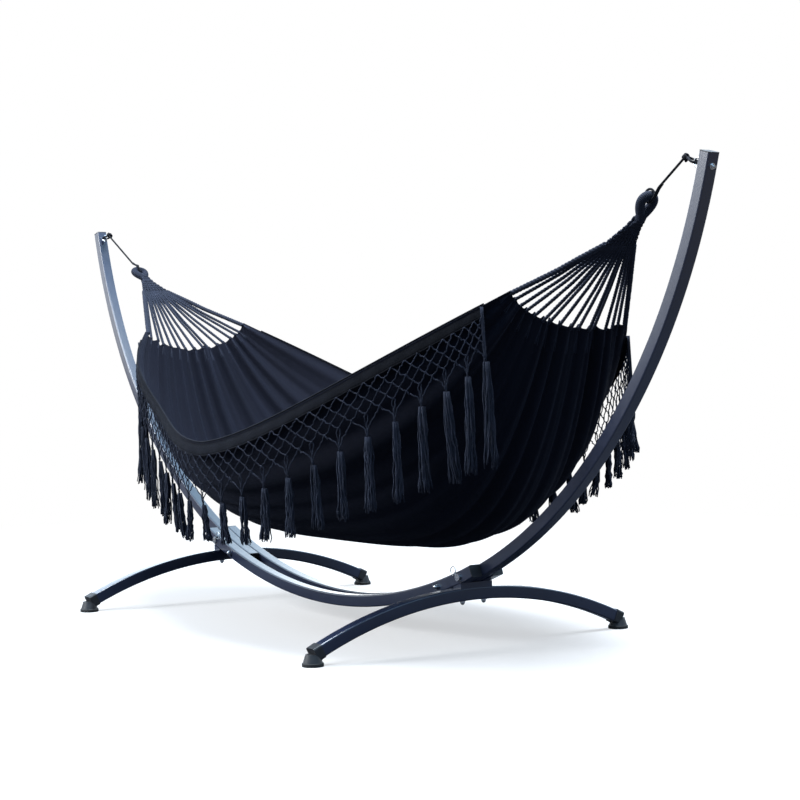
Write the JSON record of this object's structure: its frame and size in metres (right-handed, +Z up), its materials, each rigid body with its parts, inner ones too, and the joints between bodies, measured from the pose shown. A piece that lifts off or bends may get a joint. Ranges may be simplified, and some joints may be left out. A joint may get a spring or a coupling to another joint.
{
  "type": "hammock on stand",
  "caption": "Fringed cloth hammock hung between the curved arms of a bolt-together arc stand with pull-out lock pins.",
  "frame": {"origin": "middle of the stand on the floor, under the lowest point of the rails", "axes": "+Z up, +X along the hammock towards its right end, -Y towards the front"},
  "size_m": [3.798, 1.25, 1.4542],
  "materials": {
    "frame_paint": "semi-gloss powder coat",
    "bright_steel": "bright zinc plate",
    "black_plastic": "matt moulded",
    "black_rubber": "matt",
    "cotton_cloth": "plain-woven cotton",
    "cotton_string": "twisted cotton",
    "hanging_rope": "braided cord"
  },
  "bodies": {
    "stand": {"front_rail": "frame_paint", "back_rail": "frame_paint", "right_leg": "frame_paint", "left_leg": "frame_paint", "right_arm": "frame_paint", "left_arm": "frame_paint", "right_saddle": "frame_paint", "left_saddle": "frame_paint", "right_leg_bolts": "bright_steel", "left_leg_bolts": "bright_steel", "right_cross_bolt": "bright_steel", "left_cross_bolt": "bright_steel", "right_cross_nut": "bright_steel", "left_cross_nut": "bright_steel", "right_arm_washers": "bright_steel", "left_arm_washers": "bright_steel", "right_rail_caps": "black_plastic", "left_rail_caps": "black_plastic", "right_arm_cap": "black_plastic", "left_arm_cap": "black_plastic", "right_tail_cap": "black_plastic", "left_tail_cap": "black_plastic", "right_eye_bolt": "bright_steel", "left_eye_bolt": "bright_steel", "right_eye_nut": "bright_steel", "left_eye_nut": "bright_steel", "front_right_foot_cap": "black_plastic", "back_right_foot_cap": "black_plastic", "front_left_foot_cap": "black_plastic", "back_left_foot_cap": "black_plastic", "front_right_foot_pad": "black_rubber", "back_right_foot_pad": "black_rubber", "front_left_foot_pad": "black_rubber", "back_left_foot_pad": "black_rubber"},
    "hammock": {"hammock_bed": "cotton_cloth", "right_weave": "cotton_string", "left_weave": "cotton_string", "right_strings": "cotton_string", "left_strings": "cotton_string", "right_end_loop": "cotton_string", "left_end_loop": "cotton_string", "right_rope": "hanging_rope", "left_rope": "hanging_rope", "front_net": "cotton_string", "back_net": "cotton_string", "front_tassels": "cotton_string", "back_tassels": "cotton_string"},
    "right_pin": {"right_lock_pin": "bright_steel", "right_pull_ring": "bright_steel"},
    "left_pin": {"left_lock_pin": "bright_steel", "left_pull_ring": "bright_steel"}
  },
  "joints": [
    {"name": "hammock_swing", "type": "hinge", "parent": "stand", "child": "hammock", "pos_m": [0, 0, 1.4267], "axis": [1, 0, 0], "range_deg": [-12, 12]},
    {"name": "right_pin_pull", "type": "slide", "parent": "stand", "child": "right_pin", "axis": [0, -1, 0], "range_m": [0, 0.09]},
    {"name": "left_pin_pull", "type": "slide", "parent": "stand", "child": "left_pin", "axis": [0, -1, 0], "range_m": [0, 0.09]}
  ]
}
